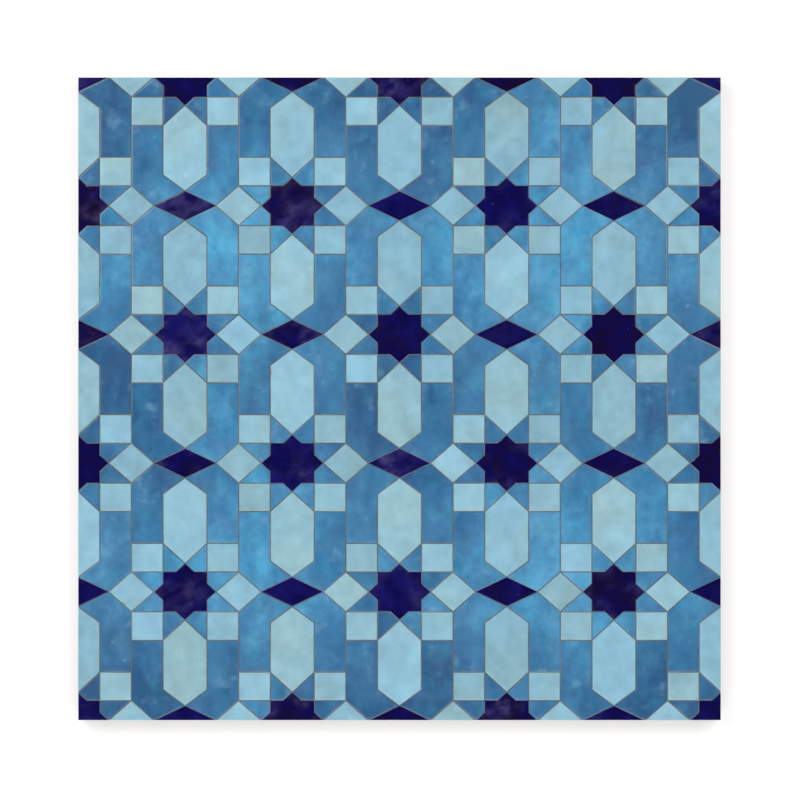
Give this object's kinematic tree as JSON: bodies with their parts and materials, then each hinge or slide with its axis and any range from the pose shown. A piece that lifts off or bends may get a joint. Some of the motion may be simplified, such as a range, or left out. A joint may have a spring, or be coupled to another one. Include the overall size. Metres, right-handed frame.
{
  "type": "moroccan mosaic tile panel",
  "caption": "Square panel of hand-cut glazed tiles, navy stars and lozenges among aqua hexagons and mid-blue kites, set in a mortar bed to face a wall or floor.",
  "frame": {"origin": "middle of the flat back", "axes": "+X across the panel, +Y up the pattern as the picture shows it, +Z out of the glazed face"},
  "size_m": [0.6098, 0.6098, 0.019],
  "materials": {
    "navy_glaze": "glossy hand-made glaze, cloudy",
    "aqua_glaze": "glossy hand-made glaze, slightly pitted",
    "blue_glaze": "glossy hand-made glaze, mottled",
    "mortar": "rough"
  },
  "bodies": {
    "root": {"star_tiles": "navy_glaze", "lozenge_tiles": "navy_glaze", "hexagon_tiles": "aqua_glaze", "square_tiles": "aqua_glaze", "diamond_tiles": "aqua_glaze", "upper_kite_tiles": "blue_glaze", "side_kite_tiles": "blue_glaze", "boot_tiles": "blue_glaze", "mortar_bed": "mortar"}
  },
  "joints": []
}
